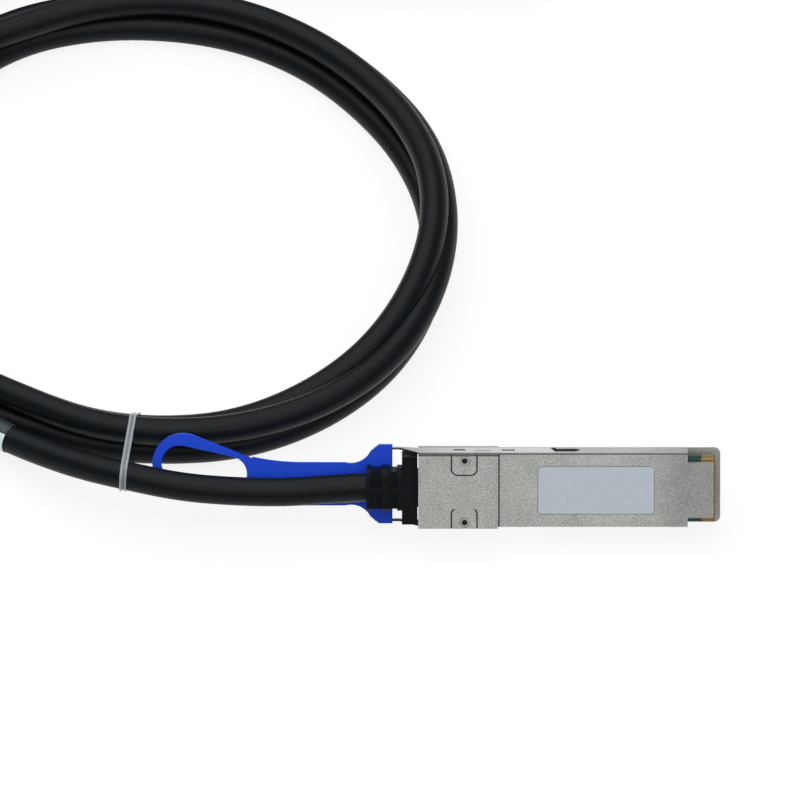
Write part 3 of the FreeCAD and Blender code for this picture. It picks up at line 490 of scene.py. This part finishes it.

# %% [markdown]
# ## The wrap near the coil
# A clear wrap with a blank patch of white paper lies round the cable just where it joins the coil; the patch is
# given a pale blue-grey colour as painted shade. It is a short tube a little wider than the jacket, so it
# follows the cable's own line instead of a straight cylinder.

# %% Wrap film and its blank patch
wrap_film = Finish("wrap_film", Base_Color=(0.05, 0.08, 0.09), Specular_IOR_Level=0.5)
cloud = wrap_film.noise(300.0)
wrap_film.set("Roughness", cloud * 0.2 + 0.18)
wrap_film.set("Alpha", cloud * 0.15 + 0.42)
patch_paper = Finish("wrap_patch", Specular_IOR_Level=0.4)
fibre = patch_paper.noise(420.0)
# painted shade: the white patch is given a pale blue-grey colour
patch_paper.set("Base Color", patch_paper.blend(fibre, (0.56, 0.66, 0.70), (0.72, 0.79, 0.81)))
patch_paper.set("Roughness", patch_paper.noise(1500.0) * 0.2 + 0.35)
FIRST_POINTS = 110  # of the line from the plug, which leaves out later turns at the same x
WRAP_FROM, WRAP_TO = -142.0, -118.5
wrap_spots = [p for p in line[:FIRST_POINTS] if WRAP_FROM * MM < p.x < WRAP_TO * MM]


def sleeve(name, spots, radius, start=0, stop=360, sides=28):
    """A tube round a line of points, or a part of one, its rings square to the line."""
    mesh = bmesh.new()
    whole = stop - start == 360
    rings = []
    for k, spot in enumerate(spots):
        along = (spots[min(k + 1, len(spots) - 1)] - spots[max(k - 1, 0)]).normalized()
        side = along.cross(Vector((0, 0, 1))).normalized()
        up = side.cross(along)
        ring = []
        for j in range(sides if whole else sides + 1):
            a = math.radians(start + (stop - start) * j / sides)
            ring.append(mesh.verts.new(spot + (side * math.cos(a) + up * math.sin(a)) * radius))
        rings.append(ring)
    join_rings(mesh, rings, sides)
    return made_of(name, mesh)


WRAP_OFF, PATCH_OFF = 0.1, 0.16  # off the jacket
wrap = sleeve("cable_wrap", wrap_spots, (DIAMETER / 2 + WRAP_OFF) * MM)
wrap.data.materials.append(wrap_film.material)
patch = sleeve("wrap_patch", wrap_spots[:-1], (DIAMETER / 2 + PATCH_OFF) * MM, start=120, stop=235, sides=14)
patch.data.materials.append(patch_paper.material)
print("wrap rings:", len(wrap_spots), "side of the first ring:", [round(v, 2) for v in wrap_spots[0]])

# %% [markdown]
# ## The cable in the assembly
# The cable, the tie, the wrap and its patch go under the assembly's root, and the CAD model's own cable and
# tie are hidden.

for piece in (cable, tie, wrap, patch):
    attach(piece, ROOT)
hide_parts("cable_lead_a", "cable_coil", "cable_lead_b")
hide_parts("twist_tie")

# %% [markdown]
# ## Metal, plastic and card
# The shells are die-cast and nickel plated: grey, with a fine sandy speckle from the plating. The slider is
# rolled sheet, so it is brighter and streaked along its length. The tab is glossy blue moulding.

# %% Lines of painted shade on the casting
# Each rectangle is its centre, half its length, half its width and its corner radius, in the plug's millimetres.
LABEL = (23.9, 0.0, 14.1, 5.8, 0.8)
LAND = (-8.3, 10.3, 2.9, 6.0, 1.3)
BLOCK_TOP, BODY_TOP = 5.3, 3.6  # heights just under the block's and the body's label side


def from_rounded(x, y, place):
    """Distance outside a rectangle with rounded corners, in the plug's plane."""
    cx, cy, half_x, half_y, radius = (v * MM for v in place)
    qx = (abs(x - cx) - (half_x - radius)).maths("MAXIMUM", 0.0)
    qy = (abs(y - cy) - (half_y - radius)).maths("MAXIMUM", 0.0)
    return (qx * qx + qy * qy).maths("SQRT") - radius


def painted_shade_lines(made, tag):
    """Painted shade: 1 in the grooves round the screw lands, in the step and in the slider's windows, and less
    along the slider's seam and as a painted shadow round the label's edge, all places where shade falls on a
    plug."""
    x, y, z = made.plug_place(tag)
    out = abs(y)
    # painted shade in the grooves, the step, the seam and the windows, and a painted shadow round the label; the
    # lit edge of each land is left out
    groove = from_rounded(x, out, LAND).between(0.02 * MM, 0.42 * MM) * (z > BLOCK_TOP * MM) * (x < -1 * MM)
    lit = (y < 0) * (out < 4.4 * MM)  # this edge of a land catches the light
    step = x.between(0, 0.38 * MM) * (z > 3.7 * MM)
    seam = (y > 8.83 * MM) * (z > 3.4 * MM) * (x < 46.3 * MM)
    window = (out < 9.13 * MM) * (abs(z + 0.5 * MM) < 3.3 * MM) * (x < 22 * MM)
    rim = from_rounded(x, y, LABEL).between(0, 0.22 * MM) * (z > BODY_TOP * MM)
    return strongest(groove * (1 - lit), step, seam * 0.85, window, rim * 0.5)


# %% Cast nickel, with painted shade that darkens it a little towards the nose
NOSE_FROM, NOSE_OVER = 34.0, 12.0
# the near black that the painted shade on the casting blends towards
PAINTED_SHADE_COLOUR = (0.03, 0.03, 0.03)


def cast_finish(tag):
    made = Finish("cast_nickel_" + tag, Metallic=1.0)
    speckle = made.noise(5400.0, 2.0, 0.8)
    cloud = made.noise(170.0, 2.0)
    grain = made.blend(speckle * 5.2 + cloud * 0.5 - 2.3, (0.27, 0.277, 0.262), (0.72, 0.73, 0.70))
    painted_shade = painted_shade_lines(made, tag)
    x, y, z = made.plug_place(tag)
    # painted shade: the base colour darkens towards the nose in place of its darker reflection
    nose = ((x - NOSE_FROM * MM) * (1 / (NOSE_OVER * MM))).maths("MAXIMUM", 0.0).maths("MINIMUM", 1.0)
    # painted shade: the lines and the nose blend from the plated grain towards near black
    made.set("Base Color", made.blend(strongest(painted_shade * 0.86, nose * 0.3), grain, PAINTED_SHADE_COLOUR))
    made.set("Roughness", speckle * 0.2 + cloud * 0.1 + painted_shade * 0.3 + 0.25)
    made.relief(speckle, 0.00009, 0.7)
    return made


# %% Sheet metal, with painted shade inside its windows and on its bulge's narrow sides
ARM_INSIDE = 9.12  # nearer the plug's middle than this, a slider arm is seen only through its windows
BULGE_FLANK = (9.2, 9.5)  # the narrow sides of the arm's bulge, which would glint
SHADOW = (0.05, 0.05, 0.05)


def sheet_finish(tag):
    made = Finish("rolled_sheet_" + tag, Metallic=1.0)
    stretched = made.node("ShaderNodeMapping", {}, {"Vector": made.place(), "Scale": (0.06, 1, 1)})
    streak = made.noise(3800.0, 3.0, 0.6, stretched)
    x, y, z = made.plug_place(tag)
    inside = abs(y) < ARM_INSIDE * MM
    flank = abs(y).between(*(v * MM for v in BULGE_FLANK))
    rolled = made.blend(streak, (0.68, 0.69, 0.68), (0.82, 0.83, 0.82))
    # painted shade: the arm's inner walls, seen through its windows, and the bulge's narrow sides, darkened so
    # that they don't glint
    made.set("Base Color", made.blend(strongest(inside * 0.95, flank * 0.6), rolled, SHADOW))
    made.set("Roughness", streak * 0.2 + inside * 0.2 + 0.34)
    made.relief(streak, 0.00002, 0.4)
    return made


# %% Springs, ferrule and contacts
spring_metal = Finish("spring_wire", Metallic=1.0, Base_Color=(0.5, 0.49, 0.47))
spring_metal.set("Roughness", spring_metal.noise(3000.0) * 0.2 + 0.25)
brass = Finish("plated_brass", Metallic=1.0, Base_Color=(0.75, 0.6, 0.33))
brass.set("Roughness", brass.noise(2500.0) * 0.2 + 0.22)
gold = Finish("contact_gold", Metallic=1.0, Base_Color=(0.5, 0.33, 0.14))
gold.set("Roughness", gold.noise(4000.0) * 0.15 + 0.2)
print("small metal:", spring_metal.material.name, brass.material.name, gold.material.name)

# %% [markdown]
# A screw head looks like a ring, because its socket is deep and in shade. The head is turned metal, and the
# socket is painted black inside as painted shade. Distance from the screw's own axis tells the two apart, so one
# finish does both.

# %% Screws
SCREW_AT = (-8.2, 7.65)
SOCKET = 0.68  # its radius


def screw_finish(tag):
    made = Finish("plated_screw_" + tag)
    x, y, z = made.plug_place(tag)
    dx, dy = x - SCREW_AT[0] * MM, abs(y) - SCREW_AT[1] * MM
    in_socket = (dx * dx + dy * dy).maths("SQRT") < SOCKET * MM
    # painted shade: the socket is near black and not metallic
    made.set("Base Color", made.blend(in_socket, (0.5, 0.49, 0.46), (0.008, 0.008, 0.008)))
    made.set("Metallic", 1 - in_socket)
    made.set("Roughness", made.noise(3000.0) * 0.2 + in_socket * 0.4 + 0.25)
    return made


# %% [markdown]
# The paddle card is green, and its edge towards the nose is covered by gold contacts. Seen along the card they
# close up into one gold band, so the band is part of the card's finish and the contacts lie on it.

# %% Paddle card
CARD_GOLD = 49.7
EDGE_GOLD = (0.30, 0.19, 0.075)


def card_finish(tag):
    made = Finish("green_mask_" + tag)
    x, y, z = made.plug_place(tag)
    band = x > CARD_GOLD * MM
    green = made.blend(made.noise(900.0), (0.003, 0.04, 0.024), (0.008, 0.075, 0.045))
    made.set("Base Color", made.blend(band, green, EDGE_GOLD))
    made.set("Metallic", band * 0.6)
    made.set("Roughness", made.noise(1500.0) * 0.1 + 0.32)
    return made


# %% Blue tab, chip, wire and label
blue = Finish("blue_moulding", Specular_IOR_Level=0.22)
drift = blue.noise(90.0, 2.0)
blue.set("Base Color", blue.blend(drift, (0.005, 0.055, 0.60), (0.008, 0.064, 0.67)))
blue.set("Roughness", blue.noise(1400.0, 2.0) * 0.12 + 0.36)
blue.relief(blue.noise(700.0, 2.0), 0.00004, 0.3)
chip = Finish("chip_epoxy", Base_Color=(0.015, 0.015, 0.015))
chip.set("Roughness", chip.noise(3000.0) * 0.2 + 0.5)
wire = Finish("pair_foil", Base_Color=(0.55, 0.56, 0.58), Metallic=0.7)
wire.set("Roughness", wire.noise(1600.0) * 0.25 + 0.25)
label = Finish("blank_label", Metallic=0.2)
label.set("Base Color", label.blend(label.noise(500.0, 2.0), (0.44, 0.495, 0.54), (0.50, 0.555, 0.60)))
label.set("Roughness", label.noise(2600.0) * 0.12 + 0.34)
print("plain finishes:", blue.material.name, chip.material.name, wire.material.name, label.material.name)

# %% [markdown]
# ## Dress the plugs
# The CAD pieces keep their shapes and only change finish. Most finishes serve both plugs. Those with marks at
# set places are made once for each plug.

# %% Dress the CAD nodes
SHARED = {
    "pull_tab": blue, "boot": boot_rubber, "contact_pads": gold, "memory_chip": chip,
    "crimp_ferrule": brass, "wire_pairs": wire, "id_label": label,
}
dressed = 0
for tag in ("a", "b"):
    cast = cast_finish(tag)
    own = {
        "shell_screws": screw_finish(tag), "paddle_card": card_finish(tag),
        "heat_shell": cast, "label_shell": cast, "latch_slider": sheet_finish(tag),
    }
    for name, finish in (SHARED | own).items():
        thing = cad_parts[name + "_" + tag]
        thing.data.materials.clear()
        thing.data.materials.append(finish.material)
        dressed += 1
print("dressed:", dressed)

# %% [markdown]
# ## Return springs
# Two small springs push each latch slider home. The slider's ears shorten them when the tab is pulled, from 5 mm
# as fitted to 2 mm at full travel. Here they are wound from round wire at their fitted length.
# Flattening them would thin the wire too, which a real spring's wire doesn't do, but the springs lie out of
# sight.

# %% Return springs
SPRING_LENGTH, SPRING_WIDE, SPRING_WIRE, SPRING_TURNS = 5.0, 1.9, 0.3, 5
SPRING_SEAT, SPRING_OUT, SPRING_UP = -16.4, 7.7, -0.8  # the fixed end and the axis, in the plug
START_GAP, END_GAP = 0.6, 0.9  # from each end to the wire's middle there, in wire widths


def spring_pair(name, place):
    """Both springs of a plug, wound round its long direction and set in the plug's place."""
    steps, sides = 16, 8
    count = SPRING_TURNS * steps
    radius = (SPRING_WIDE - SPRING_WIRE) / 2
    start = SPRING_SEAT + START_GAP * SPRING_WIRE
    rise = SPRING_LENGTH - (START_GAP + END_GAP) * SPRING_WIRE
    mesh = bmesh.new()
    for out in (SPRING_OUT, -SPRING_OUT):
        rings = []
        for k in range(count + 1):
            turn = math.tau * k / steps
            radial = Vector((0, math.cos(turn), math.sin(turn)))
            middle = Vector((start + rise * k / count, out, SPRING_UP)) + radial * radius
            ring = []
            for j in range(sides):
                a = math.tau * j / sides
                spot = middle + (radial * math.cos(a) + Vector((math.sin(a), 0, 0))) * (SPRING_WIRE / 2)
                ring.append(mesh.verts.new(place @ (spot * MM)))
            rings.append(ring)
        join_rings(mesh, rings, sides)
        mesh.faces.new(rings[0])
        mesh.faces.new(rings[-1])
    return made_of(name, mesh)


spring_places = {
    "a": Matrix.Rotation(PLUG_A_ROLL, 4, "X"),
    "b": Matrix.Translation(PLUG_B_AT),
}
for tag, place in spring_places.items():
    springs = spring_pair("latch_springs_" + tag, place)
    springs.data.materials.append(spring_metal.material)
    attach(springs, ROOT)
    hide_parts("return_springs_" + tag)
    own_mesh(springs)

# %% [markdown]
# ## Floor and light
# The cable lies on a white studio floor. Plain white is mixed over it for the camera, which makes the
# background, and enough of the floor's own shade is left for a soft shadow under the turns. Two large soft
# lamps, one behind the coil and one on the camera's side, give the long highlights without bleaching the
# metal, and a weak white world fills the shadows.

# %% Floor
FLOOR_HALF = 3.0  # metres
FLOOR_GAP = 0.1
floor_mesh = bpy.data.meshes.new("studio_floor")
level = (FLOOR - FLOOR_GAP) * MM
corners = [(x * FLOOR_HALF, y * FLOOR_HALF, level) for x, y in ((-1, -1), (1, -1), (1, 1), (-1, 1))]
floor_mesh.from_pydata(corners, [], [(0, 1, 2, 3)])
floor = bpy.data.objects.new("studio_floor", floor_mesh)
bpy.context.collection.objects.link(floor)


def white_for_rays(finish, shader, seen_share):
    """Mixes plain white over a shader, for what the camera, metal and clear film see of it."""
    kind = finish.tree.nodes.new("ShaderNodeLightPath").outputs
    camera_ray = Signal(finish, kind["Is Camera Ray"])
    others = Signal(finish, kind["Is Glossy Ray"]) + Signal(finish, kind["Is Transmission Ray"])
    white = finish.node("ShaderNodeEmission", {}, {"Color": (1, 1, 1, 1), "Strength": 1.0})
    sockets = {0: camera_ray * seen_share + others, 1: Signal(finish, shader), 2: white}
    return finish.node("ShaderNodeMixShader", {}, sockets)


WHITE_SEEN = 0.86  # the share of plain white that the camera sees in the floor
paper = Finish("white_paper", Base_Color=(0.92, 0.93, 0.93), Roughness=0.9)
seen = white_for_rays(paper, paper.shader.outputs["BSDF"], WHITE_SEEN)
paper.tree.links.new(seen.socket, paper.tree.nodes["Material Output"].inputs["Surface"])
floor_mesh.materials.append(paper.material)
print("floor at", round(level / MM, 2), "mm")

# %% Lamps and world
SOFTBOX = 2.2  # metres
LIT_SPOT = (-0.03, 0.05, 0)
SKY = 0.24


def softbox(name, power, spot):
    data = bpy.data.lights.new(name, "AREA")
    data.energy = power
    data.size = SOFTBOX
    made = bpy.data.objects.new(name, data)
    made.location = spot
    made.rotation_euler = (Vector(LIT_SPOT) - Vector(spot)).to_track_quat("-Z", "Y").to_euler()
    bpy.context.collection.objects.link(made)


softbox("top_softbox", 28, (-0.4, 0.7, 1.6))
softbox("camera_softbox", 22, (0.25, -0.75, 1.7))
world = bpy.data.worlds.new("studio")
bpy.context.scene.world = world
world.use_nodes = True
sky = world.node_tree.nodes["Background"].inputs
sky["Color"].default_value = (1, 1, 1, 1)
sky["Strength"].default_value = SKY
print("sky strength", SKY)
